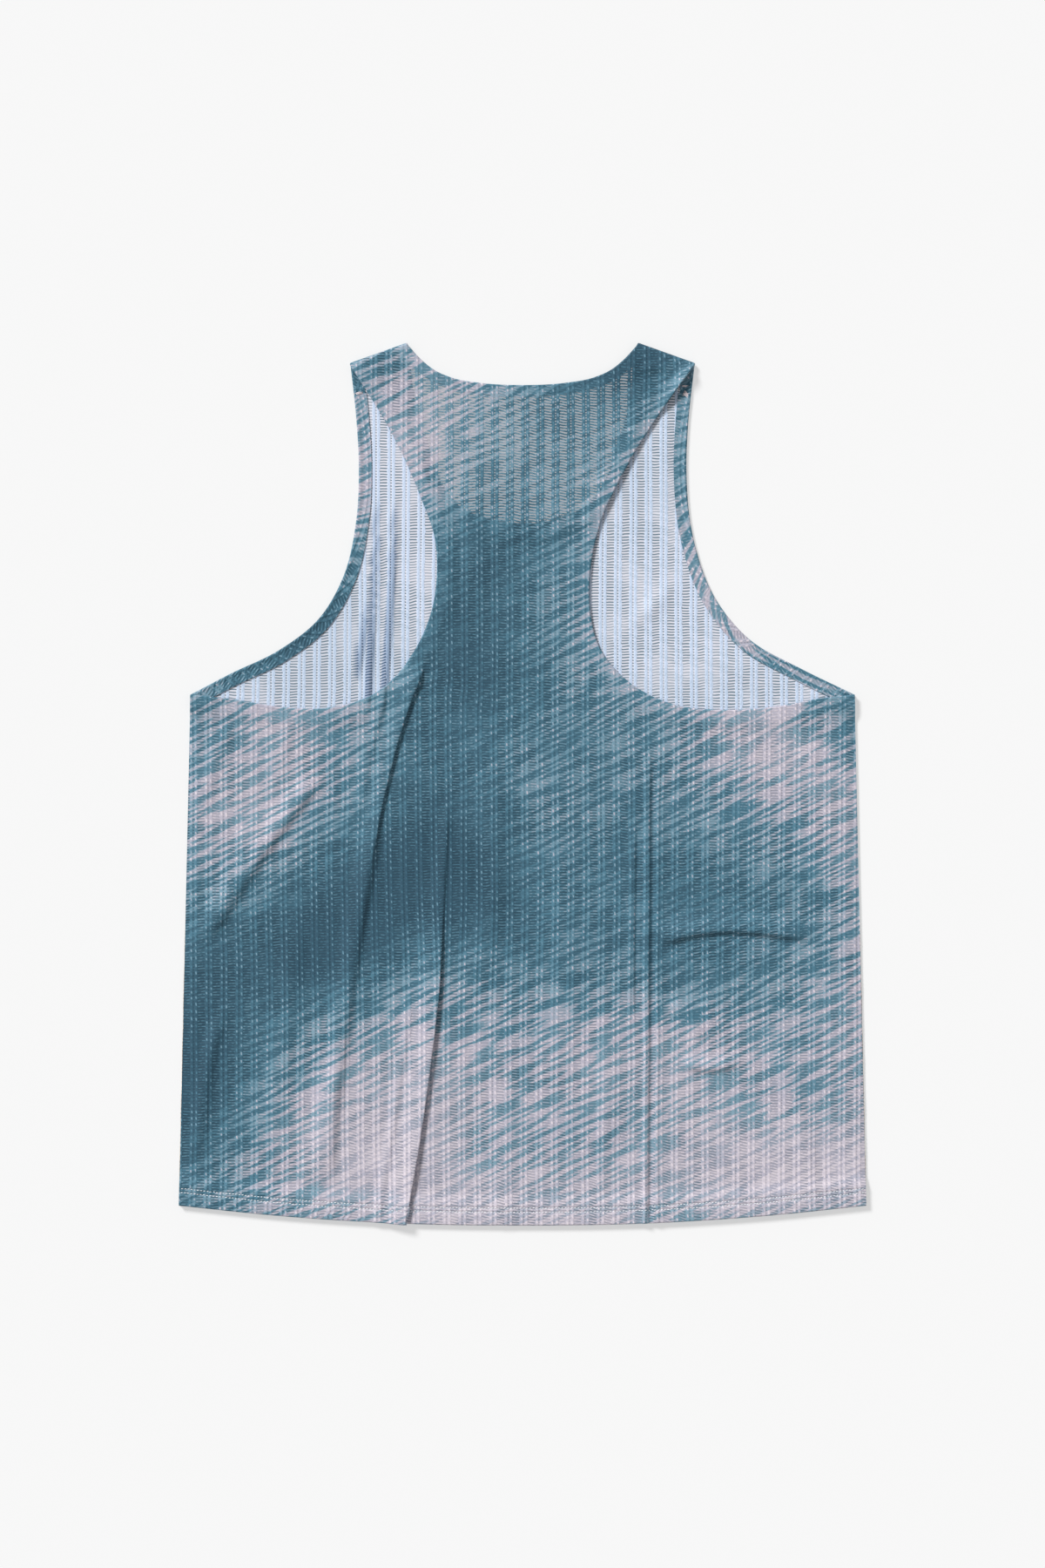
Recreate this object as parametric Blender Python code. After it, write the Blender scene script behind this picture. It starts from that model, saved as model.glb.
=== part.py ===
"""Running singlet in openwork knit, laid out flat with its back panel up.

It is built as it is sewn. The front panel lies face down on the surface, and the back
panel lies on it, rolls over each shoulder and ends at a seam on the front. The neck, the
armholes and the hem are turned in, and each turned edge is a strip of its own on the
inner face of its panel. The origin is under the middle of the garment: +X is the wearer's
right, +Y runs up to the neck and +Z is up.
"""

import math

import bpy
import numpy as np
from mathutils import Vector
from mathutils.geometry import delaunay_2d_cdt

MM = 0.001          # sizes below are in millimetres, and the solids are built in metres

# Cloth, as stacked from the surface up
CLOTH = 1.0         # wall of one layer of knit
GAP = 0.3           # air between neighbouring pieces
LAYER = CLOTH + GAP
STACK = 3           # layers under the back panel where both panels have a turned edge

# Turned edges, and how far the back panel takes to come down beside one
NECK_BAND = 8.0
BACK_ARM_BAND = 9.0
FRONT_ARM_BAND = 10.0
HEM_BAND = 15.0
COME_DOWN = 9.0
SHOULDER_LIFT = 8.0  # stretch of strap held up by the roll of the shoulder
BAND_CLEAR = 1.0     # bands stop this short of the roll

# Shoulder roll and the seam forward of it
ROLL_INSIDE = (STACK * LAYER - CLOTH) / 2
ROLL_OUTSIDE = ROLL_INSIDE + CLOTH
ROLL_HEIGHT = CLOTH + ROLL_INSIDE
ROLL_STEPS = 6
FORWARD_SEAM = 24.0  # from the shoulder line down the front

# Corners, measured on the laid garment
SHOULDER_TIP = (135.0, 328.2)
NECK_POINT = (90.0, 344.3)
UNDERARM = (259.0, 69.8)
HEM_CORNER = (268.0, -328.8)

# Edges between those corners, as knots (x, y) of smooth curves
BACK_NECK = [(79.0, 331.0), (69.0, 323.0), (56.0, 317.2), (34.0, 313.0), (0.0, 311.2)]
FRONT_NECK = [(82.5, 292.0), (73.0, 261.0), (64.0, 236.0), (53.0, 220.0), (34.0, 209.0), (0.0, 203.0)]
BACK_ARM_LEFT = [
    (-105.0, 279.0), (-80.0, 225.0), (-68.0, 189.0), (-66.8, 172.0), (-70.0, 139.0),
    (-85.0, 103.0), (-113.0, 72.0), (-152.0, 59.5), (-190.0, 60.3), (-223.0, 65.7),
]
BACK_ARM_RIGHT = [
    (108.0, 290.0), (76.0, 237.0), (60.5, 202.0), (52.6, 160.0), (53.0, 135.0),
    (60.0, 107.0), (82.0, 80.5), (120.0, 61.5), (158.0, 58.0), (196.5, 60.3), (234.0, 67.0),
]
FRONT_ARM_LEFT = [
    (-130.0, 288.0), (-127.8, 247.0), (-130.0, 204.0), (-140.0, 161.5), (-159.0, 129.0),
    (-190.0, 104.5), (-228.0, 86.0),
]
FRONT_ARM_RIGHT = [
    (129.2, 279.0), (128.0, 245.0), (134.0, 189.0), (151.0, 144.0), (177.5, 112.6),
    (215.5, 91.0),
]
HEM = [(-190.0, -336.8), (-94.0, -342.8), (0.0, -344.3), (94.0, -342.8), (190.0, -336.8)]

# Spacing of the points along the edges and the folds, and the run of a line past an edge
CURVE_STEP = 10.0
HEM_STEP = 30.0
FOLD_STEP = 22.0
RUN_ON = 12.0
MERGE = 0.1          # lines that cross nearer to a point than this share it

# The largest folds of the back panel. Each crest is a curve through three points, from its
# upper or left end to its other end. The runs are the widths of its two slopes, and the
# fades are the lengths over which it rises from nothing at its ends. A fold that runs out
# through the hem ends just past it.
FOLD_COLUMNS = (
    "name", "x1", "y1", "x2", "y2", "x3", "y3", "rise", "left_run", "right_run", "fade1", "fade3",
)
FOLD_ROWS = [
    ("drag_from_armhole", -85, 84, -104, 42, -119, -12, 3.0, 6, 15, 26, 30),
    ("long_sweep", -124, 12, -139, -103, -167, -264, 3.4, 12, 24, 55, 70),
    ("lap_to_hem", -66, -112, -76, -215, -98, -346, 4.6, 5, 20, 70, 1),
    ("side_drape", -166, -6, -204, -43, -238, -104, 2.4, 14, 16, 30, 35),
    ("side_ripple", -229, -186, -243, -222, -248, -292, 1.8, 12, 8, 30, 30),
    ("cross_crease", 112, -120, 156, -109, 216, -119, 1.8, 8, 11, 25, 30),
    ("packing_crease", 101, 34, 100, -150, 97, -346, 1.5, 9, 11, 70, 1),
    ("underarm_drag", 218, 30, 232, 9, 244, -14, 1.5, 8, 9, 16, 16),
]
FOLDS = [dict(zip(FOLD_COLUMNS, row)) for row in FOLD_ROWS]
FOLD_SPANS = 36      # straight pieces that stand for a crest when distances are measured
SLOPE_PROBE = 0.5    # half the distance over which a slope is measured

# Colours of the dyed knit's two sides, and its finish
OUTER_TEAL = (0.079, 0.226, 0.314)
EDGE_TEAL = (0.055, 0.150, 0.210)
FRONT_LILAC = (0.560, 0.560, 0.640)
KNIT_ROUGHNESS = 0.62


def smooth_curve(knots, step):
    """Points about one step apart on the curve through the knots.

    Each stretch is a cubic whose end slopes are those of the chord between the knots
    on either side, and the result is spaced evenly along its length.
    """
    knots = np.array(knots, float)
    length = np.append(0.0, np.cumsum(np.hypot(*np.diff(knots, axis=0).T)))
    slope = np.gradient(knots, length, axis=0)
    fine = np.linspace(0.0, length[-1], 40 * len(knots))
    i = np.clip(np.searchsorted(length, fine, side="right") - 1, 0, len(knots) - 2)
    span = (length[i + 1] - length[i])[:, None]
    t = (fine - length[i])[:, None] / span
    points = (
        (1 + 2 * t) * (1 - t) ** 2 * knots[i]
        + t * (1 - t) ** 2 * span * slope[i]
        + t * t * (3 - 2 * t) * knots[i + 1]
        + t * t * (t - 1) * span * slope[i + 1]
    )
    run = np.append(0.0, np.cumsum(np.hypot(*np.diff(points, axis=0).T)))
    count = max(2, round(run[-1] / step) + 1)
    even = np.linspace(0.0, run[-1], count)
    return np.column_stack([np.interp(even, run, points[:, k]) for k in (0, 1)])


def mirrored(knots):
    """A half curve that ends on the centre line, continued on the other side."""
    return knots + [(-x, y) for x, y in reversed(knots[:-1])]


def moved_in(line, distance):
    """The line moved square to itself, to its left, by the distance."""
    tangent = np.gradient(line, axis=0)
    tangent /= np.hypot(*tangent.T)[:, None]
    return line + distance * np.column_stack([-tangent[:, 1], tangent[:, 0]])


def run_on(line):
    """The line lengthened at both ends, to cross the edges that it stops at."""
    first, last = line[0] - line[1], line[-1] - line[-2]
    first, last = first / np.hypot(*first), last / np.hypot(*last)
    return np.vstack([line[0] + RUN_ON * first, line, line[-1] + RUN_ON * last])


def distance_along(points, line):
    """Distance to a line, which side it is on (+1 left), and how far along it (0 to 1)."""
    start, step = line[:-1], np.diff(line, axis=0)
    size = np.hypot(*step.T)
    away = points[:, None] - start[None]
    part = np.clip((away * step).sum(-1) / size**2, 0.0, 1.0)
    off = away - part[..., None] * step
    gap = np.hypot(off[..., 0], off[..., 1])
    best = gap.argmin(1)
    row = np.arange(len(points))
    cross = step[best, 0] * off[row, best, 1] - step[best, 1] * off[row, best, 0]
    run = np.append(0.0, np.cumsum(size))
    along = (run[best] + part[row, best] * size[best]) / run[-1]
    return gap[row, best], np.where(cross >= 0, 1.0, -1.0), along


def within(polygon, points):
    """Which points lie inside the polygon, by counting the edges crossed on the way out."""
    x, y = points[:, 0:1], points[:, 1:2]
    ax, ay = polygon.T
    bx, by = np.roll(polygon, -1, axis=0).T
    spans = (ay > y) != (by > y)
    crossing = ax + (y - ay) * (bx - ax) / np.where(by == ay, 1.0, by - ay)
    return (spans & (x < crossing)).sum(1) % 2 == 1


class Strap:
    """One shoulder: its roll lies along `across` from the tip, and `outward` is over it."""

    def __init__(self, side):
        tip = np.array([side * SHOULDER_TIP[0], SHOULDER_TIP[1]])
        neck = np.array([side * NECK_POINT[0], NECK_POINT[1]])
        self.width = math.dist(tip, neck)
        self.across = (neck - tip) / self.width
        self.outward = np.array([self.across[1] * side, abs(self.across[0])])
        self.tip = tip - ROLL_OUTSIDE * self.outward
        self.neck = neck - ROLL_OUTSIDE * self.outward

    def height_over(self, points):
        """How far the points are past the middle of the roll, outward."""
        return (points - self.tip) @ self.outward

    def line(self, height):
        """A line across the strap at a height over the roll's middle, past both edges."""
        reach = 0.5 * self.width
        start = self.tip + height * self.outward
        return np.array([start - reach * self.across, start + (self.width + reach) * self.across])

    def unrolled(self, points):
        """Where points of the lower layer lie once the cloth is opened out flat."""
        return points + (ROLL_LENGTH - 2 * self.height_over(points))[:, None] * self.outward

    def upper_end(self, line, depth):
        """The part of a line that runs from the roll down to a depth below it."""
        height = self.height_over(line)
        last = int(np.argmax(height < -depth))
        share = (height[last - 1] + depth) / (height[last - 1] - height[last])
        cut = line[last - 1] + share * (line[last] - line[last - 1])
        return np.vstack([line[:last], cut])


ROLL_LENGTH = math.pi * (ROLL_INSIDE + CLOTH / 2)
LEFT, RIGHT = Strap(-1), Strap(1)

# The garment's edges. Each runs so that its cloth lies to its left. The side seams are the
# straight runs from the underarms to the hem.
left_underarm, right_underarm = (-UNDERARM[0], UNDERARM[1]), UNDERARM
left_hem, right_hem = (-HEM_CORNER[0], HEM_CORNER[1]), HEM_CORNER
hem = smooth_curve([left_hem] + HEM + [right_hem], HEM_STEP)
back_neck = smooth_curve([RIGHT.neck] + mirrored(BACK_NECK) + [LEFT.neck], CURVE_STEP)
front_neck = smooth_curve([RIGHT.neck] + mirrored(FRONT_NECK) + [LEFT.neck], CURVE_STEP)
back_arm_left = smooth_curve([LEFT.tip] + BACK_ARM_LEFT + [left_underarm], CURVE_STEP)
back_arm_right = smooth_curve([right_underarm] + BACK_ARM_RIGHT[::-1] + [RIGHT.tip], CURVE_STEP)
front_arm_left = smooth_curve([LEFT.tip] + FRONT_ARM_LEFT + [left_underarm], CURVE_STEP)
front_arm_right = smooth_curve([right_underarm] + FRONT_ARM_RIGHT[::-1] + [RIGHT.tip], CURVE_STEP)

# Each turned edge: its node, its line and its width
BACK_EDGES = [
    ("back_neck_band", back_neck, NECK_BAND),
    ("back_armhole_band_left", back_arm_left, BACK_ARM_BAND),
    ("back_armhole_band_right", back_arm_right, BACK_ARM_BAND),
    ("back_hem", hem, HEM_BAND),
]
FRONT_EDGES = [
    ("front_neck_band", front_neck, NECK_BAND),
    ("front_armhole_band_left", front_arm_left, FRONT_ARM_BAND),
    ("front_armhole_band_right", front_arm_right, FRONT_ARM_BAND),
    ("front_hem", hem, HEM_BAND),
]


def crest(fold):
    """The crest as a curve through the fold's three points."""
    ends = np.array([[fold["x1"], fold["y1"]], [fold["x3"], fold["y3"]]], float)
    bend = 2 * np.array([fold["x2"], fold["y2"]]) - ends.mean(0)
    t = np.linspace(0.0, 1.0, FOLD_SPANS + 1)[:, None]
    return (1 - t) ** 2 * ends[0] + 2 * t * (1 - t) * bend + t * t * ends[1]


def eased(share):
    """0 up to a share of 0 and 1 from a share of 1, with level ends between them."""
    share = np.clip(share, 0.0, 1.0)
    return share * share * (3 - 2 * share)


def fold_height(points):
    """Sum of the folds: half a cosine wave down each slope, faded in at both ends."""
    total = np.zeros(len(points))
    for fold in FOLDS:
        line = crest(fold)
        length = np.hypot(*np.diff(line, axis=0).T).sum()
        gap, side, along = distance_along(points, line)
        run = np.where(side > 0, fold["left_run"], fold["right_run"])
        slope = 0.5 + 0.5 * np.cos(np.pi * np.minimum(gap / run, 1.0))
        ends = eased(along * length / fold["fade1"]) * eased((1 - along) * length / fold["fade3"])
        total += fold["rise"] * slope * ends
    return total


def edge_lift(points, edges):
    """1 over a turned edge, falling evenly to 0 over the come-down beside it."""
    lift = np.zeros(len(points))
    for _, line, width in edges:
        gap, _, _ = distance_along(points, line)
        lift = np.maximum(lift, (width + COME_DOWN - gap) / COME_DOWN)
    for strap in (LEFT, RIGHT):
        depth = -strap.height_over(points)
        lift = np.maximum(lift, (SHOULDER_LIFT + COME_DOWN - depth) / COME_DOWN)
    return np.clip(lift, 0.0, 1.0)


def back_underside(points):
    """Height of the back panel's inner face over the surface the garment lies on."""
    lower = np.maximum(edge_lift(points, FRONT_EDGES), within(front_neck, points))
    return LAYER * (1 + lower + edge_lift(points, BACK_EDGES)) + fold_height(points)


def steepness(points):
    """Vertical thickness of a wall of unit thickness: the root of one plus slope squared."""
    dx, dy = np.array([SLOPE_PROBE, 0.0]), np.array([0.0, SLOPE_PROBE])
    along_x = back_underside(points + dx) - back_underside(points - dx)
    along_y = back_underside(points + dy) - back_underside(points - dy)
    return np.sqrt(1 + (along_x**2 + along_y**2) / (2 * SLOPE_PROBE) ** 2)


def back_surface(points, below):
    """Opened-out cloth laid down: a face of a layer `below` the back panel's inner face.

    A negative `below` is above that face. Past the roll's middle the cloth goes round
    the roll and then runs back under it, along the front.
    """
    place = np.column_stack([points, back_underside(points) - below * steepness(points)])
    radius = ROLL_INSIDE - below
    for strap in (LEFT, RIGHT):
        height = strap.height_over(points)
        over = height > 0
        angle = np.pi * np.clip(height / ROLL_LENGTH, 0.0, 1.0)
        flat = radius * np.sin(angle) - np.maximum(height - ROLL_LENGTH, 0.0)
        rolled = points + (flat - height)[:, None] * strap.outward
        place[over, :2] = rolled[over]
        place[over, 2] = (ROLL_HEIGHT + radius * np.cos(angle))[over]
    return place


def cut_flat(outline, lines):
    """Triangles that fill the outline, with the lines among their edges."""
    points, edges = [], []
    for path, closed in [(outline, True)] + [(line, False) for line in lines]:
        first = len(points)
        points.extend(Vector(point) for point in path)
        edges.extend((k, k + 1) for k in range(first, len(points) - 1))
        if closed:
            edges.append((len(points) - 1, first))
    corners, _, faces, _, _, _ = delaunay_2d_cdt(points, edges, [], 0, MERGE)
    corners = np.array([tuple(corner) for corner in corners])
    faces = np.array([tuple(face) for face in faces])
    return corners, faces[within(outline, corners[faces].mean(1))]


def knit_material(name, colour):
    """Dull dyed knit in one colour."""
    material = bpy.data.materials.new(name)
    material.use_nodes = True
    shader = material.node_tree.nodes["Principled BSDF"]
    shader.inputs["Base Color"].default_value = (*colour, 1.0)
    shader.inputs["Roughness"].default_value = KNIT_ROUGHNESS
    shader.inputs["Metallic"].default_value = 0.0
    return material


def wall(name, outer, inner, faces, material):
    """A closed wall between two faces of the cloth that share their triangles."""
    used, faces = np.unique(faces, return_inverse=True)
    faces = faces.reshape(-1, 3)
    count = len(used)
    edges = np.vstack([faces[:, [0, 1]], faces[:, [1, 2]], faces[:, [2, 0]]])
    present = {tuple(edge) for edge in edges.tolist()}
    rim = [(i, i + count, j + count, j) for i, j in edges.tolist() if (j, i) not in present]
    mesh = bpy.data.meshes.new(name)
    corners = np.vstack([outer[used], inner[used]]) * MM
    mesh.from_pydata(corners.tolist(), [], faces.tolist() + (faces[:, ::-1] + count).tolist() + rim)
    mesh.update()
    mesh.materials.append(material)
    piece = bpy.data.objects.new(name, mesh)
    bpy.context.scene.collection.objects.link(piece)


def at_height(points, height):
    """The points at one height."""
    return np.column_stack([points, np.full(len(points), height)])


def band_area(line, width):
    """The strip of a turned edge, run on past the cloth at its edge and ends, as a polygon."""
    return np.vstack([run_on(moved_in(line, -CLOTH)), run_on(moved_in(line, width))[::-1]])


def below_rolls(points, depth):
    """Which points lie deeper than this below the middle of both shoulder rolls."""
    return np.maximum(LEFT.height_over(points), RIGHT.height_over(points)) < -depth


def make_front():
    """The front panel and the edges turned up onto its inner face, all of them flat."""
    outline = np.vstack([front_arm_left, hem, front_arm_right, front_neck])
    seam = FORWARD_SEAM - ROLL_OUTSIDE + GAP
    lines = [strap.line(-depth) for strap in (LEFT, RIGHT) for depth in (seam, BAND_CLEAR)]
    lines += [run_on(moved_in(line, width)) for _, line, width in FRONT_EDGES]
    points, faces = cut_flat(outline, lines)
    middle = points[faces].mean(1)
    wall("front_panel", at_height(points, CLOTH), at_height(points, 0.0),
         faces[below_rolls(middle, seam)], knit_material("knit_face_down", FRONT_LILAC))
    edge_knit = knit_material("knit_front_edges", OUTER_TEAL)
    for name, line, width in FRONT_EDGES:
        strip = below_rolls(middle, BAND_CLEAR) & within(band_area(line, width), middle)
        wall(name, at_height(points, LAYER + CLOTH), at_height(points, LAYER), faces[strip], edge_knit)


def fold_lines(fold):
    """The lines that shape a fold: its crest, and the middle and foot of each slope."""
    line = smooth_curve(crest(fold), FOLD_STEP)
    offsets = [share * fold["left_run"] for share in (1.0, 0.5)]
    offsets += [-share * fold["right_run"] for share in (0.0, 0.5, 1.0)]
    return [moved_in(line, offset) for offset in offsets]


def make_back():
    """The back panel, over both shoulders, and the edges turned in under it."""
    seam = FORWARD_SEAM - ROLL_OUTSIDE
    outline = np.vstack([
        back_arm_left, hem, back_arm_right,
        RIGHT.unrolled(RIGHT.upper_end(front_arm_right[::-1], seam)),
        RIGHT.unrolled(RIGHT.upper_end(front_neck, seam))[::-1],
        back_neck,
        LEFT.unrolled(LEFT.upper_end(front_neck[::-1], seam)),
        LEFT.unrolled(LEFT.upper_end(front_arm_left, seam))[::-1],
    ])
    heights = [-SHOULDER_LIFT - COME_DOWN, -SHOULDER_LIFT, -BAND_CLEAR]
    heights += [ROLL_LENGTH * step / ROLL_STEPS for step in range(ROLL_STEPS + 1)]
    lines = [strap.line(height) for strap in (LEFT, RIGHT) for height in heights]
    for _, line, width in BACK_EDGES + FRONT_EDGES[:-1]:
        lines += [run_on(moved_in(line, width)), run_on(moved_in(line, width + COME_DOWN))]
    lines.append(front_neck[1:-1])
    for fold in FOLDS:
        lines += fold_lines(fold)
    points, faces = cut_flat(outline, lines)
    middle = points[faces].mean(1)
    wall("back_panel", back_surface(points, -CLOTH), back_surface(points, 0.0), faces,
         knit_material("knit_face_up", OUTER_TEAL))
    edge_knit = knit_material("knit_back_edges", EDGE_TEAL)
    for name, line, width in BACK_EDGES:
        strip = below_rolls(middle, BAND_CLEAR) & within(band_area(line, width), middle)
        wall(name, back_surface(points, GAP), back_surface(points, LAYER), faces[strip], edge_knit)


for old in list(bpy.data.objects):
    bpy.data.objects.remove(old, do_unlink=True)
make_front()
make_back()
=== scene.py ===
import math

import bpy
import numpy as np
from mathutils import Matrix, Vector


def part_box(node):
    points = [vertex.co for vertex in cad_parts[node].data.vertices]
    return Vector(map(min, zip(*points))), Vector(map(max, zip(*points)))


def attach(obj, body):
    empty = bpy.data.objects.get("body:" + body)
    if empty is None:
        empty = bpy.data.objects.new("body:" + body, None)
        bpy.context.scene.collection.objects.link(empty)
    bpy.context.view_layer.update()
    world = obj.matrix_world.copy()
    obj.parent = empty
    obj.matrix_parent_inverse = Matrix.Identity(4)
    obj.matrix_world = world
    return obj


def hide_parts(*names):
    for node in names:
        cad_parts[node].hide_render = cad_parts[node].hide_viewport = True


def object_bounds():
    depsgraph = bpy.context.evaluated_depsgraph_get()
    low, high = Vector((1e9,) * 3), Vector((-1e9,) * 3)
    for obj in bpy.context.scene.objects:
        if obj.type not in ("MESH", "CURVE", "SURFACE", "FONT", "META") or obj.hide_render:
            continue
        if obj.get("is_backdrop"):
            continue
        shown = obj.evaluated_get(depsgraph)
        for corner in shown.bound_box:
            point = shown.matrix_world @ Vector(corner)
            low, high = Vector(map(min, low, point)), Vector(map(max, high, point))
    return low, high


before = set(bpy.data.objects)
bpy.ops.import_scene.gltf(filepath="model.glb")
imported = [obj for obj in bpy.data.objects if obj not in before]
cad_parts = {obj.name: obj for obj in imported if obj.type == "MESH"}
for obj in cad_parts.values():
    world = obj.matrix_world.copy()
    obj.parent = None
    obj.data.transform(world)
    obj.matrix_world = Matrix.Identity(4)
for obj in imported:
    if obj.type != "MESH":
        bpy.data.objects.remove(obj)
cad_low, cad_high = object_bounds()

# ------------------------------------------------------------------------ Front panel
# The front of the singlet: one piece of openwork rib knit with a low neck. It lies face
# down, so its undyed inner face shows through the armholes, and the dyed face is below.

MM = 0.001
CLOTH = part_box("front_panel")[1].z          # one layer of knit, as the frame has it
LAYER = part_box("front_neck_band")[0].z      # a layer and the air over it
SHELL = 0.8 * MM                            # the knit as it is seen, a little thinner
ROLL = (LAYER + CLOTH) / 2                  # radius of the fold at a turned edge
HEM_CORNER_X = cad_high.x
NECK_TIP = np.array([90.0 * MM, cad_high.y])
SHOULDER_TIP = np.array([135.0 * MM, cad_high.y - 16.1 * MM])
UNDERARM = np.array([259.0, 69.8]) * MM
FORWARD_SEAM = 24.0 * MM                    # from the shoulder line down the front

ROLL_INSIDE = (3 * LAYER - CLOTH) / 2       # the shoulder roll, round all four layers
ROLL_OUTSIDE = ROLL_INSIDE + CLOTH
ROLL_HEIGHT = CLOTH + ROLL_INSIDE
ROLL_LENGTH = math.pi * (ROLL_INSIDE + CLOTH / 2)
SEAM_DEPTH = FORWARD_SEAM - ROLL_OUTSIDE


def smooth_curve(knots, step):
    """Points a step apart on the curve through the knots.

    Each stretch is the cubic whose end slopes are those of the chord between the knots
    on either side, and the points are spaced evenly along its length.
    """
    knots = np.array(knots, float)
    length = np.append(0.0, np.cumsum(np.hypot(*np.diff(knots, axis=0).T)))
    slope = np.gradient(knots, length, axis=0)
    fine = np.linspace(0.0, length[-1], 60 * len(knots))
    i = np.clip(np.searchsorted(length, fine, side="right") - 1, 0, len(knots) - 2)
    span = (length[i + 1] - length[i])[:, None]
    t = (fine - length[i])[:, None] / span
    points = (
        (1 + 2 * t) * (1 - t) ** 2 * knots[i]
        + t * (1 - t) ** 2 * span * slope[i]
        + t * t * (3 - 2 * t) * knots[i + 1]
        + t * t * (t - 1) * span * slope[i + 1]
    )
    return resampled(points, max(3, round(length[-1] / step) + 1))


def resampled(line, count):
    """The line with `count` points spaced evenly along its length."""
    run = np.append(0.0, np.cumsum(np.sqrt((np.diff(line, axis=0) ** 2).sum(1))))
    even = np.linspace(0.0, run[-1], count)
    return np.column_stack([np.interp(even, run, column) for column in line.T])


def unit(vectors):
    """The vectors at length one."""
    return vectors / np.linalg.norm(vectors, axis=-1, keepdims=True)


def inward(line):
    """Unit normals to the left of a plan line, which is where its cloth lies."""
    tangent = unit(np.gradient(line, axis=0))
    return np.column_stack([-tangent[:, 1], tangent[:, 0]])


class Strap:
    """One shoulder: the roll lies along `across` from the armhole, `outward` is over it."""

    def __init__(self, side):
        mirror = np.array([side, 1.0])
        self.width = np.linalg.norm(NECK_TIP - SHOULDER_TIP)
        self.across = (NECK_TIP - SHOULDER_TIP) * mirror / self.width
        self.outward = np.array([side * abs(self.across[1]), abs(self.across[0])])
        self.tip = SHOULDER_TIP * mirror - ROLL_OUTSIDE * self.outward
        self.neck = NECK_TIP * mirror - ROLL_OUTSIDE * self.outward

    def height_over(self, points):
        """How far points are past the middle of the roll, outward."""
        return (points - self.tip) @ self.outward

    def at_height(self, line, height):
        """Where a line that comes down from the shoulder passes each height."""
        heights = self.height_over(line)
        last = int(np.argmin(heights)) + 1
        return np.column_stack([np.interp(-height, -heights[:last], c[:last]) for c in line.T])

    def below(self, line, height):
        """The part of a line coming down from the shoulder that lies under a height."""
        first = int(np.argmax(self.height_over(line) < height))
        return np.vstack([self.at_height(line, np.array([height])), line[first:]])

    def opened(self, line):
        """A front edge's first run, from the seam up to the shoulder and over the roll.

        The cloth that lies under the back is turned up about the roll, in the plane of
        the back, with the roll's own length between the two.
        """
        depth = np.linspace(SEAM_DEPTH, 0.0, 9)
        under = self.at_height(line, -depth)
        above = under + (ROLL_LENGTH + 2 * depth)[:, None] * self.outward
        over = np.linspace(ROLL_LENGTH, 0.0, 7)[1:-1, None] * self.outward + line[0]
        return np.vstack([above, over])


LEFT, RIGHT = Strap(-1), Strap(1)
EDGE_STEP = 3.0 * MM

# edges as knots (x, y) in millimetres, each running so that its cloth is on its left
FRONT_NECK = [(82.5, 292.0), (73.0, 261.0), (64.0, 236.0), (53.0, 220.0), (34.0, 209.0), (0.0, 203.0)]
FRONT_ARM_LEFT = [
    (-130.0, 288.0), (-127.8, 247.0), (-130.0, 204.0), (-140.0, 161.5), (-159.0, 129.0),
    (-190.0, 104.5), (-228.0, 86.0),
]
FRONT_ARM_RIGHT = [
    (129.2, 279.0), (128.0, 245.0), (134.0, 189.0), (151.0, 144.0), (177.5, 112.6),
    (215.5, 91.0),
]
HEM = [(-190.0, -336.8), (-94.0, -342.8), (0.0, -344.3), (94.0, -342.8), (190.0, -336.8)]


def edge(start, knots, end):
    """An edge of a panel, from one corner through its knots to another."""
    return smooth_curve(np.vstack([[start], np.array(knots) * MM, [end]]), EDGE_STEP)


def both_sides(half):
    """Half a list of knots, up to the centre line, and its mirror image."""
    return half + [(-x, y) for x, y in reversed(half[:-1])]


left_underarm, right_underarm = UNDERARM * [-1, 1], UNDERARM
left_hem, right_hem = (np.array([side * HEM_CORNER_X, -328.8 * MM]) for side in (-1, 1))
front_neck = edge(RIGHT.neck, both_sides(FRONT_NECK), LEFT.neck)
front_arm_left = edge(LEFT.tip, FRONT_ARM_LEFT, left_underarm)
front_arm_right = edge(right_underarm, FRONT_ARM_RIGHT[::-1], RIGHT.tip)
hem = edge(left_hem, HEM, right_hem)


def distance_along(points, line):
    """Distance to a line, the side it is on (+1 left), and the share of its length."""
    start, step = line[:-1], np.diff(line, axis=0)
    size = np.hypot(*step.T)
    away = points[:, None] - start[None]
    part = np.clip((away * step).sum(-1) / size**2, 0.0, 1.0)
    off = away - part[..., None] * step
    gap = np.hypot(off[..., 0], off[..., 1])
    best = gap.argmin(1)
    row = np.arange(len(points))
    cross = step[best, 0] * off[row, best, 1] - step[best, 1] * off[row, best, 0]
    run = np.append(0.0, np.cumsum(size))
    along = (run[best] + part[row, best] * size[best]) / run[-1]
    return gap[row, best], np.where(cross >= 0, 1.0, -1.0), along, best


def eased(share):
    """0 up to a share of 0 and 1 from a share of 1, with level ends between them."""
    share = np.clip(share, 0.0, 1.0)
    return share * share * (3 - 2 * share)


# A fold: three plan points on its crest, how high it rises, how far its slopes run to the
# left and right, how far the crest leans over, and how far it fades in and out at its ends
FOLD_COLUMNS = (
    "name", "x1", "y1", "x2", "y2", "x3", "y3", "rise", "left", "right", "lean", "fade1", "fade3",
)


def fold_table(rows):
    """Rows of folds, in millimetres, as dictionaries in metres."""
    folds = [dict(zip(FOLD_COLUMNS, row)) for row in rows]
    return [{key: v if key == "name" else v * MM for key, v in fold.items()} for fold in folds]


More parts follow.
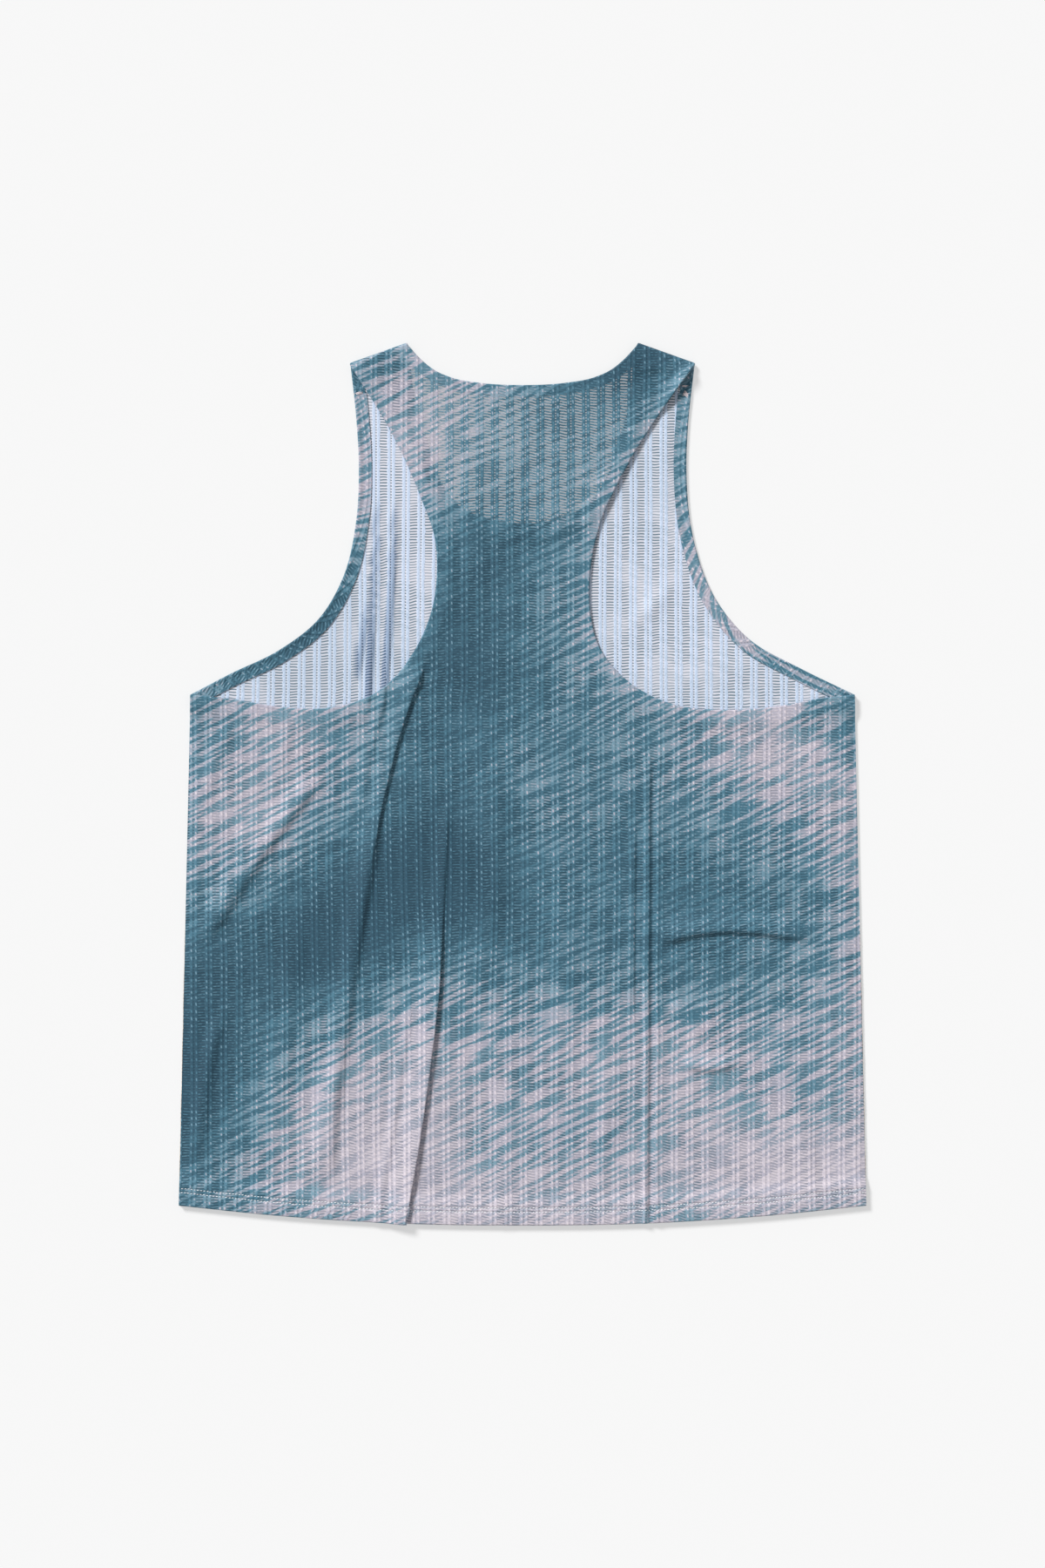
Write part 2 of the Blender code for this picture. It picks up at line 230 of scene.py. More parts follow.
def crest(fold, spans=30):
    """The crest of a fold: the curve through its three points."""
    ends = np.array([[fold["x1"], fold["y1"]], [fold["x3"], fold["y3"]]])
    bend = 2 * np.array([fold["x2"], fold["y2"]]) - ends.mean(0)
    t = np.linspace(0.0, 1.0, spans + 1)[:, None]
    return (1 - t) ** 2 * ends[0] + 2 * t * (1 - t) * bend + t * t * ends[1]


FAR = 110.0 * MM   # distance over which the cloth beside a fold takes up its slack


def folded(points, folds):
    """What the folds do to cloth at these plan points: rise, sideways shift, slack taken.

    Down each slope the rise is half a cosine wave. The crest leans over its steep side
    by `lean`. The slack is the extra cloth along the folded section, shared between the
    two sides, and it moves the knit's own coordinates away from the fold.
    """
    rise = np.zeros(len(points))
    shift = np.zeros((len(points), 2))
    slack = np.zeros((len(points), 2))
    for fold in folds:
        line = crest(fold)
        normals = inward(line)
        length = np.hypot(*np.diff(line, axis=0).T).sum()
        gap, side, along, near = distance_along(points, line)
        run = np.where(side > 0, fold["left"], fold["right"])
        shape = 0.5 + 0.5 * np.cos(np.pi * np.minimum(gap / run, 1.0))
        ends = eased(along * length / fold["fade1"]) * eased((1 - along) * length / fold["fade3"])
        normal = normals[near]
        rise += fold["rise"] * shape * ends
        shift += (fold["lean"] * shape * ends)[:, None] * normal
        s = np.linspace(-fold["right"], fold["left"], 81)
        hump = 0.5 + 0.5 * np.cos(np.pi * s / np.where(s > 0, fold["left"], fold["right"]))
        step = np.hypot(np.diff(s + fold["lean"] * hump), fold["rise"] * np.diff(hump)) - np.diff(s)
        taken = np.append(0.0, np.cumsum(step))
        taken -= taken[-1] / 2
        amount = np.interp(gap * side, s, taken) * ends * np.exp(-gap / FAR)
        slack += amount[:, None] * normal
    return rise, shift, slack


# narrow pinches and soft drags in sight through the armholes, and two that the back hides
FRONT_FOLDS = fold_table([
    ("pinch_outer", -112, 236, -116, 150, -121, 52, 1.9, 3.0, 4.5, 0.8, 70, 20),
    ("pinch_inner", -99, 240, -102, 150, -110, 48, 1.6, 3.0, 5.0, 0.6, 80, 20),
    ("pinch_low", -122, 150, -125, 110, -131, 78, 1.0, 3.5, 5.0, 0, 30, 12),
    ("drag_right", 120, 162, 103, 140, 80, 122, 1.3, 10, 8, 0, 25, 25),
    ("drag_low", 190, 82, 160, 92, 132, 114, 0.9, 9, 8, 0, 25, 25),
    ("roll_right", 116, 300, 110, 240, 116, 190, 0.9, 9, 9, 0, 35, 35),
    ("drag_hidden", -40, 60, -20, -60, -48, -180, 1.2, 14, 17, 0, 60, 60),
    ("hem_hidden", 60, -150, 66, -230, 58, -330, 1.0, 12, 9, 0, 60, 20),
])
RIPPLE_SIZE = (34.0 * MM, 62.0 * MM)
FRONT_RIPPLE = 0.12 * MM


def ripple(points, seed, size=RIPPLE_SIZE):
    """Soft unevenness between -1 and 1: a lattice of random heights, eased between."""
    heights = np.random.default_rng(seed).uniform(-1.0, 1.0, (40, 40))
    place = points / np.array(size) + 20.0
    cell = np.floor(place).astype(int)
    share = eased(place - cell)
    corner = [heights[cell[:, 0] + i, cell[:, 1] + j] for i in (0, 1) for j in (0, 1)]
    low = corner[0] + (corner[1] - corner[0]) * share[:, 1]
    high = corner[2] + (corner[3] - corner[2]) * share[:, 1]
    return low + (high - low) * share[:, 0]


def front_lift(points):
    """Height of the front panel's dyed face over the surface it lies on."""
    rise, _, _ = folded(points, FRONT_FOLDS)
    return rise + FRONT_RIPPLE * (1 + ripple(points, 3))


def spaced(stops, steps):
    """Places from the first stop to the last, about a step apart between each two."""
    runs = []
    for start, end, step in zip(stops, stops[1:], steps):
        runs.append(np.linspace(start, end, max(2, round(abs(end - start) / step) + 1))[:-1])
    return np.append(np.concatenate(runs), stops[-1])


def body_grid(top, bottom, columns, rows):
    """Plan points of a panel's body, row by row from the hem up.

    A column runs straight from the hem to the top edge. Its place across the hem is its
    place across the top, widened as the hem is wider. Rows share each column alike.
    """
    low_x = columns * bottom[-1, 0] / top[-1, 0]
    low = np.column_stack([low_x, np.interp(low_x, *bottom.T)])
    high = np.column_stack([columns, np.interp(columns, *top.T)])
    return low + (high - low) * rows[:, None, None]


def patch(bottom, top, left, right):
    """Plan points between four edges: the sum of both blends less that of the corners."""
    u = np.linspace(0.0, 1.0, len(bottom))[None, :, None]
    v = np.linspace(0.0, 1.0, len(left))[:, None, None]
    across = (1 - u) * left[:, None] + u * right[:, None]
    along = (1 - v) * bottom[None] + v * top[None]
    low = (1 - u) * bottom[0] + u * bottom[-1]
    high = (1 - u) * top[0] + u * top[-1]
    return across + along - (1 - v) * low - v * high


def split(line, x):
    """An armhole edge, from its shoulder, cut where it passes x on its lower run."""
    last = len(line) - int(np.argmax(np.abs(line[::-1, 0]) <= abs(x))) - 1
    return line[:last + 1], line[last:]


def quads(index):
    """The faces of a grid of vertex numbers."""
    corners = (index[:-1, :-1], index[:-1, 1:], index[1:, 1:], index[1:, :-1])
    return np.stack([corner.ravel() for corner in corners], axis=1)


def panel(neck_top, arm_left, arm_right, chest, columns, steps, strap_columns,
          row_stops, row_steps, step):
    """Plan points and faces of a panel: its body, and a yoke that shares its middle.

    `neck_top` is the three runs of the yoke's upper edge from the left armhole to the
    right one. `chest` is where the armholes leave the body for the yoke. `columns` and
    `row_stops` are where the spacing changes, and `steps` and `row_steps` are the spacings
    between. Returns the points, the faces and the vertex numbers of the upper edge.
    """
    upper_left, lower_left = split(arm_left, chest[0])
    upper_right, lower_right = split(arm_right, chest[1])
    cuts = [upper_left[-1, 0], upper_right[-1, 0]]
    top = np.vstack([lower_left[::-1], lower_right])
    stops = sorted([-arm_right[-1, 0], arm_right[-1, 0], *columns, *cuts])
    across = spaced(stops, steps)
    rows = spaced(row_stops, row_steps)
    rows = (rows - rows[0]) / (rows[-1] - rows[0])
    body = body_grid(top, inset_hem, across, rows)
    index = np.arange(body[..., 0].size).reshape(body.shape[:2])
    first, last = (int(np.argmin(np.abs(across - cut))) for cut in cuts)
    count = last - first + 1
    left_run, neck_run, right_run = neck_top
    middle = resampled(neck_run, count - 2 * strap_columns)
    upper = np.vstack([
        resampled(left_run, strap_columns + 1)[:-1], middle,
        resampled(right_run, strap_columns + 1)[1:],
    ])
    height = max(len(upper_left), len(upper_right))
    levels = max(8, round(height * EDGE_STEP / step))
    yoke = patch(body[-1, first:last + 1], upper, resampled(upper_left[::-1], levels),
                 resampled(upper_right[::-1], levels))
    more = index.size + np.arange((levels - 1) * count).reshape(levels - 1, count)
    yoke_index = np.vstack([index[-1:, first:last + 1], more])
    points = np.vstack([body.reshape(-1, 2), yoke[1:].reshape(-1, 2)])
    return points, np.vstack([quads(index), quads(yoke_index)]), yoke_index[-1]


def moved_in(line, distance):
    """The line moved square to itself, into its cloth."""
    return line + distance * inward(line)


hem_x = np.linspace(-HEM_CORNER_X, HEM_CORNER_X, 200)
inset_hem = np.column_stack([hem_x, np.interp(hem_x, *moved_in(hem, ROLL).T)])


class Shade:
    """A shader socket that adds Math nodes when it takes part in arithmetic."""

    tree = None

    def __init__(self, socket):
        self.socket = socket

    @classmethod
    def node(cls, kind, sockets=None, output=0, stops=None, **settings):
        """One node: its settings and ramp stops, then its sockets' values or links."""
        made = cls.tree.nodes.new(kind)
        for name, value in settings.items():
            setattr(made, name, value)
        if stops:
            for _ in stops[2:]:
                made.color_ramp.elements.new(1.0)
            for (place, colour), element in zip(stops, made.color_ramp.elements):
                element.position = place
                element.color = (*colour, 1.0)
        for name, value in (sockets or {}).items():
            if isinstance(value, Shade):
                cls.tree.links.new(value.socket, made.inputs[name])
            else:
                made.inputs[name].default_value = value
        return cls(made.outputs[output])

    def math(self, operation, *others):
        """A Math node on this value and the others."""
        return Shade.node("ShaderNodeMath", dict(enumerate((self, *others))), operation=operation)

    def __add__(self, other):
        return self.math("ADD", other)

    __radd__ = __add__

    def __sub__(self, other):
        return self.math("SUBTRACT", other)

    def __rsub__(self, other):
        return Shade.node("ShaderNodeMath", {0: other, 1: self}, operation="SUBTRACT")

    def __mul__(self, other):
        return self.math("MULTIPLY", other)

    __rmul__ = __mul__

    def __truediv__(self, other):
        return self.math("DIVIDE", other)

    def step(self, low, high):
        """0 at `low` and 1 at `high`, eased between them and level past them."""
        sockets = {"Value": self, "From Min": low, "From Max": high}
        return Shade.node("ShaderNodeMapRange", sockets, interpolation_type="SMOOTHSTEP")

    def mix(self, first, second):
        """The first colour where this is 0, and the second where it is 1."""
        colours = {"Factor": self, 6: first, 7: second}
        return Shade.node("ShaderNodeMix", colours, output=2, data_type="RGBA")

    def feed(self, shader, name):
        """Link this to a shader's socket."""
        Shade.tree.links.new(self.socket, shader.inputs[name])


def noise(vector, scale, detail=0.0):
    """Smooth noise over a plane, around 0.5."""
    sockets = {"Vector": vector, "Scale": scale, "Detail": detail}
    return Shade.node("ShaderNodeTexNoise", sockets, noise_dimensions="2D")


def plane(x, y):
    """A vector from two numbers."""
    return Shade.node("ShaderNodeCombineXYZ", {0: x, 1: y})


# The knit repeats across: a wide ladder of rungs, a rib, a narrow row of holes, a rib
REPEAT = 11.8 * MM
RUNG = 2.2 * MM
DASH = 5.2 * MM
LADDER_END, HOLES_START, HOLES_END = 0.54, 0.70, 0.845   # as shares of the repeat
RIB_MIDDLES = (0.62, 0.925)
LADDER_EDGE, HOLE_EDGE = 0.06, 0.05
THREAD_CORE, THREAD_EDGE = 0.01, 0.075
SWAY, RAGGED = 0.06, 0.09          # how far the repeat wanders, and the ladder's edge
LEAN, OWN_LEAN = 2.4, 1.2          # how rungs lean, a patch together and each by itself
ROW_DRIFT, ROW_SHAKE = 1.3, 0.35   # how far rungs wander up and down, in rungs
RUNG_TOP, SLOT_TOP, SLOT_FOOT = 0.34, 0.60, 0.80   # as shares of a rung and its slot
DASH_TOP, DASH_FOOT = 0.60, 0.86   # as shares of a dash and the space after it
WASH_TONE, WASH_SWING = 0.36, 0.30
FLECK_TONE, RUNG_HIGHLIGHT_TONE = 0.42, 0.30
SLOT_OPEN, MOST_OPEN = 1.4, 0.8
FULL_TURN = 2 * math.pi

DEEP_TEAL = (0.026, 0.082, 0.126)
TEAL = (0.070, 0.188, 0.262)
MIST = (0.195, 0.318, 0.398)
LILAC = (0.430, 0.412, 0.490)
BLUSH = (0.670, 0.605, 0.655)
RUNG_WHITE = (0.770, 0.765, 0.840)
RIB_BLUE = (0.530, 0.645, 0.825)
# the slots' colours are painted shade, the dark of the gap seen through the knit's holes; the tuck's blue
# is partly its pressed ribs and partly painted shade
SLOT_SHADE_GREY = (0.130, 0.190, 0.240)
TUCK_RIBS_AND_SHADE = (0.150, 0.245, 0.400)
SLOT_SHADE_TEAL = (0.010, 0.036, 0.058)
SLOT_SHADE_NAVY = (0.040, 0.085, 0.160)


def knit(name, dyed, holes):
    """The knit's dyed or undyed face, worked out from the cloth's own coordinates.

    `dyed` washes the yarn from deep teal to blush in broad slanting clouds, with brushed
    flecks; the ribs carry pale dashes, partly paler yarn and partly painted highlight, and
    some rungs a painted highlight on their crowns. The undyed face is white rungs between
    pale blue ribs, darker in a pinched tuck, partly from its pressed ribs and partly as
    painted shade. On both faces the slots are painted dark as shade. `holes` opens the
    slots where no other cloth is below.
    A noise's scale is its patches per metre of cloth, or per unit of its plane.
    """
    material = bpy.data.materials.new(name)
    material.use_nodes = True
    Shade.tree = material.node_tree
    shader = Shade.tree.nodes["Principled BSDF"]
    cloth = Shade.node("ShaderNodeUVMap", uv_map="cloth")
    u, v = (Shade.node("ShaderNodeSeparateXYZ", {0: cloth}, output=axis) for axis in (0, 1))
    doubled = Shade.node("ShaderNodeAttribute", output=2, attribute_name="doubled")

    # the knit's repeat, a little uneven, with rungs that bow between their ribs
    sway = (noise(cloth, 14.0) - 0.5) * SWAY
    across = u / REPEAT + sway
    place = across.math("FRACT")
    column = across.math("FLOOR")
    ragged = (noise(plane(column * 5.3, v / (0.9 * RUNG)), 1.0) - 0.5) * RAGGED
    torn = place + ragged
    ladder = torn.step(0.0, LADDER_EDGE) * torn.step(LADDER_END, LADDER_END - LADDER_EDGE)
    small = place.step(HOLES_START, HOLES_START + HOLE_EDGE) * place.step(HOLES_END, HOLES_END - HOLE_EDGE)
    own = noise(plane(column * 9.1, v * 9.0), 1.0)
    tilt = (noise(cloth, 5.0) - 0.42) * LEAN + (own - 0.5) * OWN_LEAN
    bow = (place - LADDER_END / 2) * tilt * ladder
    row = v / RUNG + bow + noise(cloth, 21.0, 1.0) * ROW_DRIFT + noise(cloth, 160.0) * ROW_SHAKE
    level = row.math("FRACT")
    patchy = noise(cloth, 30.0, 1.0).step(0.25, 0.7)
    below = Shade.node("ShaderNodeAttribute", output=2, attribute_name="open_below")
    pinch = Shade.node("ShaderNodeAttribute", output=2, attribute_name="pinched")
    gap = level.step(RUNG_TOP, SLOT_TOP) * level.step(1.0, SLOT_FOOT)
    slot = (ladder + small * 0.9) * gap * (0.55 + 0.45 * patchy)
    rib = 1 - ladder - small

    # clouds of dye, brushed flecks across them, pale dashes on the ribs that are partly paler
    # yarn and partly painted highlight, and a painted highlight on some rungs' crowns
    drift = noise(cloth, 5.2, 1.5)
    bend = noise(cloth, 2.3)
    slant = (u * 1.15 - v * 0.95 + bend * 1.5 + 0.30) * FULL_TURN
    wash = slant.math("SINE") * WASH_SWING + WASH_TONE + (drift - 0.5) * 0.9
    along, over = u * 0.90 + v * 0.43, v * 0.90 - u * 0.43
    streak = noise(plane(along * 30.0, over * 300.0), 1.0, 0.5)
    cloud = noise(plane(along * 20.0, over * 48.0), 1.0, 1.0)
    fleck = streak.step(0.40, 0.60) - 0.58 + (cloud - 0.5) * 0.30
    flecked = wash.step(-0.1, 0.55) * (1 - 0.65 * wash.step(0.55, 0.85))
    rib_number = (across * 2 + 0.5).math("FLOOR")
    start = Shade.node("ShaderNodeTexWhiteNoise", {"W": rib_number}, noise_dimensions="1D")
    turn = (v / DASH + start + noise(cloth, 60.0) * 0.8).math("FRACT")
    dash = turn.step(0.46, DASH_TOP) * turn.step(1.0, DASH_FOOT)
    strong = noise(plane(rib_number * 3.1, v * 70.0), 1.0, 1.0).step(0.35, 0.65)
    lean = (turn - (DASH_TOP + DASH_FOOT) / 2) * 0.06
    leaned = place + lean
    thread = sum(
        leaned.step(middle - THREAD_EDGE, middle - THREAD_CORE)
        * leaned.step(middle + THREAD_EDGE, middle + THREAD_CORE)
        for middle in RIB_MIDDLES
    )
    # painted highlight on the crowns of rungs, in scattered patches
    highlit_rungs = noise(plane(across * 4.2, row.math("FLOOR") * 3.3), 1.0).step(0.40, 0.62)
    crown = level.step(0.0, 0.12) * level.step(0.36, 0.22) * ladder
    # pale dashes down the rib middles: partly paler yarn, partly painted highlight
    dashes = dash * thread * (0.15 + 0.30 * strong)
    tone = wash + fleck * FLECK_TONE * flecked + dashes + highlit_rungs * crown * RUNG_HIGHLIGHT_TONE

    if dyed:
        stops = [(0.0, DEEP_TEAL), (0.26, TEAL), (0.50, MIST), (0.76, LILAC), (1.0, BLUSH)]
        yarn = Shade.node("ShaderNodeValToRGB", {0: tone}, stops=stops)
        # painted shade in the slots: the holes are darkened as if shadowed, less in pale dye, less where a
        # turned strip lies below and less where the ground shows through
        depth = slot * (0.82 - tone.step(0.35, 1.0) * 0.42) * (1 - 0.55 * doubled) * (1 - 0.7 * below)
        colour = depth.mix(yarn, (*SLOT_SHADE_TEAL, 1))
    else:
        plain = (rib * 0.85).mix((*RUNG_WHITE, 1), (*RIB_BLUE, 1))
        through = tone.step(0.75, 0.05) * 0.20
        yarn = through.mix(plain, (*MIST, 1))
        # a pinched tuck goes bluer and darker, partly from its pressed ribs and partly as painted shade in
        # the crease; the slots are painted shade, the deeper navy in a tuck
        tight_and_shaded = (pinch * 0.6).mix(yarn, (*TUCK_RIBS_AND_SHADE, 1))
        slot_shade = pinch.mix((*SLOT_SHADE_GREY, 1), (*SLOT_SHADE_NAVY, 1))
        colour = (slot * (1.25 + 0.7 * pinch)).mix(tight_and_shaded, slot_shade)
    colour.feed(shader, "Base Color")

    round_rung = (level * FULL_TURN - 1.0).math("SINE") * (1 - rib) * 0.22
    relief = rib * 0.5 + thread * 0.35 + round_rung - slot * 0.5
    bump = Shade.node("ShaderNodeBump", {"Height": relief, "Strength": 0.5, "Distance": 0.5 * MM})
    bump.feed(shader, "Normal")
    (0.60 + slot * 0.2).feed(shader, "Roughness")
    shader.inputs["Sheen Weight"].default_value = 0.10
    shader.inputs["Sheen Roughness"].default_value = 0.4
    shader.inputs["Specular IOR Level"].default_value = 0.32
    if holes:
        (1 - (slot * SLOT_OPEN).math("MINIMUM", MOST_OPEN) * below).feed(shader, "Alpha")
    return material


knit_dyed = knit("knit_dyed", True, False)
knit_undyed = knit("knit_undyed", False, False)


def cloth_piece(name, xyz, faces, cloth, materials, values=None, flip=False):
    """A sheet of knit given by its dyed face, made a shell towards its undyed face.

    `cloth` is the knit's own coordinates at each vertex, and `values` are numbers at each
    vertex that the knit's material reads.
    """
    faces = faces[:, ::-1] if flip else faces
    mesh = bpy.data.meshes.new(name)
    mesh.from_pydata(xyz.tolist(), [], faces.tolist())
    layer = mesh.uv_layers.new(name="cloth")
    layer.data.foreach_set("uv", cloth[faces.ravel()].astype(np.float32).ravel())
    for key, value in (values or {}).items():
        attribute = mesh.attributes.new(key, "FLOAT", "POINT")
        attribute.data.foreach_set("value", value.astype(np.float32))
    mesh.polygons.foreach_set("use_smooth", np.ones(len(faces), bool))
    sides = np.zeros(len(mesh.loops), int)
    mesh.loops.foreach_get("edge_index", sides)
    rim = np.bincount(sides, minlength=len(mesh.edges)) == 1
    mesh.attributes.new("sharp_edge", "BOOLEAN", "EDGE").data.foreach_set("value", rim)
    for material in materials:
        mesh.materials.append(material)
    mesh.update()
    piece = bpy.data.objects.new(name, mesh)
    bpy.context.scene.collection.objects.link(piece)
    wall = piece.modifiers.new("wall", "SOLIDIFY")
    wall.thickness = SHELL
    wall.offset = -1.0
    wall.material_offset = 1
    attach(piece, "root")
    return piece


def cut_size(faces, cloth):
    """Width, length and area of the flat cut, from the knit's own coordinates."""
    a, b, c, d = (cloth[faces[:, k]] for k in range(4))
    p, q = c - a, d - b
    area = 0.5 * np.abs(p[:, 0] * q[:, 1] - p[:, 1] * q[:, 0]).sum()
    return (*np.ptp(cloth, axis=0).tolist(), float(area))


def front_face(points, depth):
    """Where the front panel's cloth lies, a depth up from its dyed face."""
    return np.column_stack([points, front_lift(points) + depth])


FRONT_DYE_PLACE = [1.37, 0.83]   # where on the printed roll this panel was cut


def front_cloth(points):
    """The knit's own coordinates on the front panel, in metres, mirrored as it lies."""
    _, _, slack = folded(points, FRONT_FOLDS)
    return (points + slack) * [-1, 1] + FRONT_DYE_PLACE


SEAM_END = -SEAM_DEPTH - 0.3 * MM   # the front stops just short of the back's end
PINCHED = 0.8 * MM                  # a pinch this high is as dark as it gets, in its pressed ribs and its painted shade
PLAIN_STEP = 4.5 * MM
front_left_in = LEFT.below(moved_in(front_arm_left, ROLL), SEAM_END)
front_right_in = RIGHT.below(moved_in(front_arm_right, ROLL)[::-1], SEAM_END)
front_neck_in = RIGHT.below(moved_in(front_neck, ROLL), SEAM_END)
front_neck_in = LEFT.below(front_neck_in[::-1], SEAM_END)
points, faces, _ = panel(
    neck_top=(np.array([front_left_in[0], front_neck_in[0]]), front_neck_in,
              np.array([front_neck_in[-1], front_right_in[0]])),
    arm_left=front_left_in, arm_right=front_right_in,
    chest=(-170 * MM, 175 * MM),
    columns=[-128 * MM, -92 * MM],
    steps=[PLAIN_STEP, PLAIN_STEP, 1.3 * MM, PLAIN_STEP, PLAIN_STEP],
    strap_columns=7,
    row_stops=[0.0, 0.045, 1.0], row_steps=[0.0026, 0.0118],
    step=PLAIN_STEP,
)
cloth = front_cloth(points)
# how high each pinch stands, which darkens the undyed face there: partly its pressed ribs, partly painted
# shade
tucks = folded(points, [fold for fold in FRONT_FOLDS if fold["name"].startswith("pinch")])[0]
front_panel = cloth_piece("front_panel_knit", front_face(points, 0.0), faces, cloth,
                          [knit_dyed, knit_undyed],
                          {"pinched": eased(tucks / PINCHED)}, flip=True)
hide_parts("front_panel")
front_width, front_length, front_area = cut_size(faces, cloth)

# ------------------------------------------------------------------------- Back panel
# The back is one racer-cut piece of the same knit, laid on the front with its dyed face up.
# It rolls over each shoulder and is sewn to the front 24 mm down. It holds the folds: a
# drag from the armhole, a lap out through the hem, a pressed line and soft drapes.

BACK_NECK = [(79.0, 331.0), (69.0, 323.0), (56.0, 317.2), (34.0, 313.0), (0.0, 311.2)]
BACK_ARM_LEFT = [
    (-105.0, 279.0), (-80.0, 225.0), (-68.0, 189.0), (-66.8, 172.0), (-70.0, 139.0),
    (-85.0, 103.0), (-113.0, 72.0), (-152.0, 59.5), (-190.0, 60.3), (-223.0, 65.7),
]
BACK_ARM_RIGHT = [
    (108.0, 290.0), (76.0, 237.0), (60.5, 202.0), (52.6, 160.0), (53.0, 135.0),
    (60.0, 107.0), (82.0, 80.5), (120.0, 61.5), (158.0, 58.0), (196.5, 60.3), (234.0, 67.0),
]
back_neck = edge(RIGHT.neck, both_sides(BACK_NECK), LEFT.neck)
back_arm_left = edge(LEFT.tip, BACK_ARM_LEFT, left_underarm)
back_arm_right = edge(right_underarm, BACK_ARM_RIGHT[::-1], RIGHT.tip)

NECK_TURN = 8.0 * MM        # widths of the strips that are turned in
BACK_ARM_TURN = 9.0 * MM
FRONT_ARM_TURN = 10.0 * MM
HEM_TURN = 15.0 * MM
COME_DOWN = 11.0 * MM       # over which the cloth comes down beside a turned edge
SHOULDER_LIFT = 9.0 * MM    # how far below the shoulder the cloth still rides on the roll

BACK_FOLDS = fold_table([
    ("drag_from_armhole", -77, 94, -101, 32, -124, -72, 3.0, 4.5, 15, 3.4, 14, 62),
    ("drag_pucker", -108, 72, -119, 26, -132, -40, 1.3, 6, 9, 0.6, 22, 34),
    ("long_sweep", -112, -12, -139, -166, -156, -324, 3.1, 11, 12, 2.4, 44, 45),
    ("sweep_inner", -172, -90, -183, -170, -196, -290, 1.3, 13, 15, 0.5, 50, 50),
    ("lap_to_hem", -61, -52, -75, -206, -97, -346, 4.2, 4.5, 19, 5.0, 120, 1),
    ("lap_head", -58, -8, -61, -50, -64, -104, 1.6, 4.0, 9, 0.6, 36, 36),
    ("lap_rib", -86, -140, -95, -220, -115, -346, 1.1, 5, 6, 0.5, 60, 1),
    ("side_drape", -157, 8, -205, -54, -250, -126, 3.4, 9, 15, 1.2, 22, 26),
    ("side_drape_low", -192, -14, -222, -56, -252, -134, 1.3, 9, 13, 0.3, 30, 40),
    ("armhole_dimple", -222, 50, -240, 20, -251, -30, 1.2, 9, 9, 0.0, 20, 25),
    ("underarm_press", -176, 52, -190, 20, -186, -12, 0.9, 10, 9, 0.0, 20, 20),
    ("side_ripple", -228, -170, -245, -215, -253, -296, 2.5, 8, 8, 0.8, 30, 30),
    ("left_low", -150, -210, -158, -262, -172, -318, 1.3, 11, 10, 0.4, 30, 20),
    ("cross_crease", 104, -123, 158, -111, 230, -120, 3.5, 14, 8.5, -2.4, 14, 26),
    ("cross_crease_low", 122, -216, 146, -221, 172, -215, 2.4, 10, 5.0, -1.2, 12, 14),
    ("low_patch", 114, -168, 129, -182, 142, -203, 2.3, 8, 6, 0.0, 12, 12),
    ("low_patch_side", 134, -170, 146, -180, 152, -200, 1.3, 7, 6, 0.0, 12, 12),
    ("press_ridge", 98.0, 34, 97.4, -150, 95.8, -346, 1.5, 2.4, 5.0, 0.0, 50, 1),
    ("press_far_ridge", 105.2, 30, 104.6, -150, 103.0, -346, 0.8, 7.0, 2.4, 0.0, 50, 1),
    ("press_line", 101.8, 34, 101.2, -150, 99.6, -346, -1.5, 2.6, 2.0, 0.0, 50, 14),
    ("press_side", 90.0, -20, 88.8, -100, 88.2, -196, -1.1, 3.0, 2.4, 0.0, 44, 44),
    ("press_side_ridge", 86.6, -20, 85.4, -100, 84.8, -196, 1.0, 4.0, 3.0, 0.0, 44, 44),
    ("underarm_drag", 216, 30, 231, 8, 247, -16, 1.4, 7, 8, 0.4, 14, 14),
    ("underarm_drag_low", 196, 16, 214, -14, 240, -48, 0.8, 9, 9, 0.0, 20, 20),
    ("right_drape", 176, -40, 196, -90, 244, -150, 0.9, 14, 12, 0.0, 40, 40),
    ("right_low", 190, -190, 214, -250, 226, -326, 1.1, 12, 12, 0.0, 40, 20),
    ("tip_gape_left", -133, 325, -126, 313, -117, 299, 1.2, 10, 10, 0.0, 4, 22),
    ("tip_gape_right", 133, 325, 121, 306, 106, 284, 4.2, 10, 10, 0.0, 4, 34),
    ("strap_drag_left", -118, 312, -106, 316, -93, 315, 1.0, 5, 4, -0.5, 8, 8),
    ("strap_drag_right", 88, 320, 101, 324, 113, 325, 1.0, 5, 4, -0.5, 8, 8),
    ("strap_pull_right", 76, 296, 86, 300, 98, 298, 0.7, 6, 5, 0.0, 8, 8),
    ("yoke_drape", -30, 268, -38, 200, -28, 130, 0.9, 15, 18, 0.0, 40, 40),
    ("yoke_pull", 22, 250, 30, 190, 40, 120, 0.7, 14, 14, 0.0, 40, 40),
    ("small_of_back", 20, -20, 34, -130, 24, -260, 0.9, 20, 24, 0.0, 60, 60),
    ("middle_hem", -20, -200, -12, -260, -18, -344, 0.8, 13, 12, 0.0, 50, 1),
])


def within(polygon, points):
    """Which points lie inside the polygon, by counting the edges crossed on the way out."""
    inside = np.zeros(len(points), bool)
    x, y = points.T
    for (ax, ay), (bx, by) in zip(polygon, np.roll(polygon, -1, axis=0)):
        if ay != by:
            inside ^= ((ay > y) != (by > y)) & (x < ax + (y - ay) * (bx - ax) / (by - ay))
    return inside


def edge_lift(points, edges):
    """1 over a turned edge or a shoulder, easing to 0 over the come-down beside it."""
    lift = np.zeros(len(points))
    for line, width in edges:
        gap, _, _, _ = distance_along(points, line[::3])
        lift = np.maximum(lift, eased((width + COME_DOWN - gap) / COME_DOWN))
    for strap in (LEFT, RIGHT):
        depth = -strap.height_over(points)
        lift = np.maximum(lift, eased((SHOULDER_LIFT + COME_DOWN - depth) / COME_DOWN))
    return lift


def side_x(y):
    """How far out the side seam is at each height."""
    ends = np.array([right_hem, UNDERARM])
    return np.interp(y, ends[:, 1], ends[:, 0])


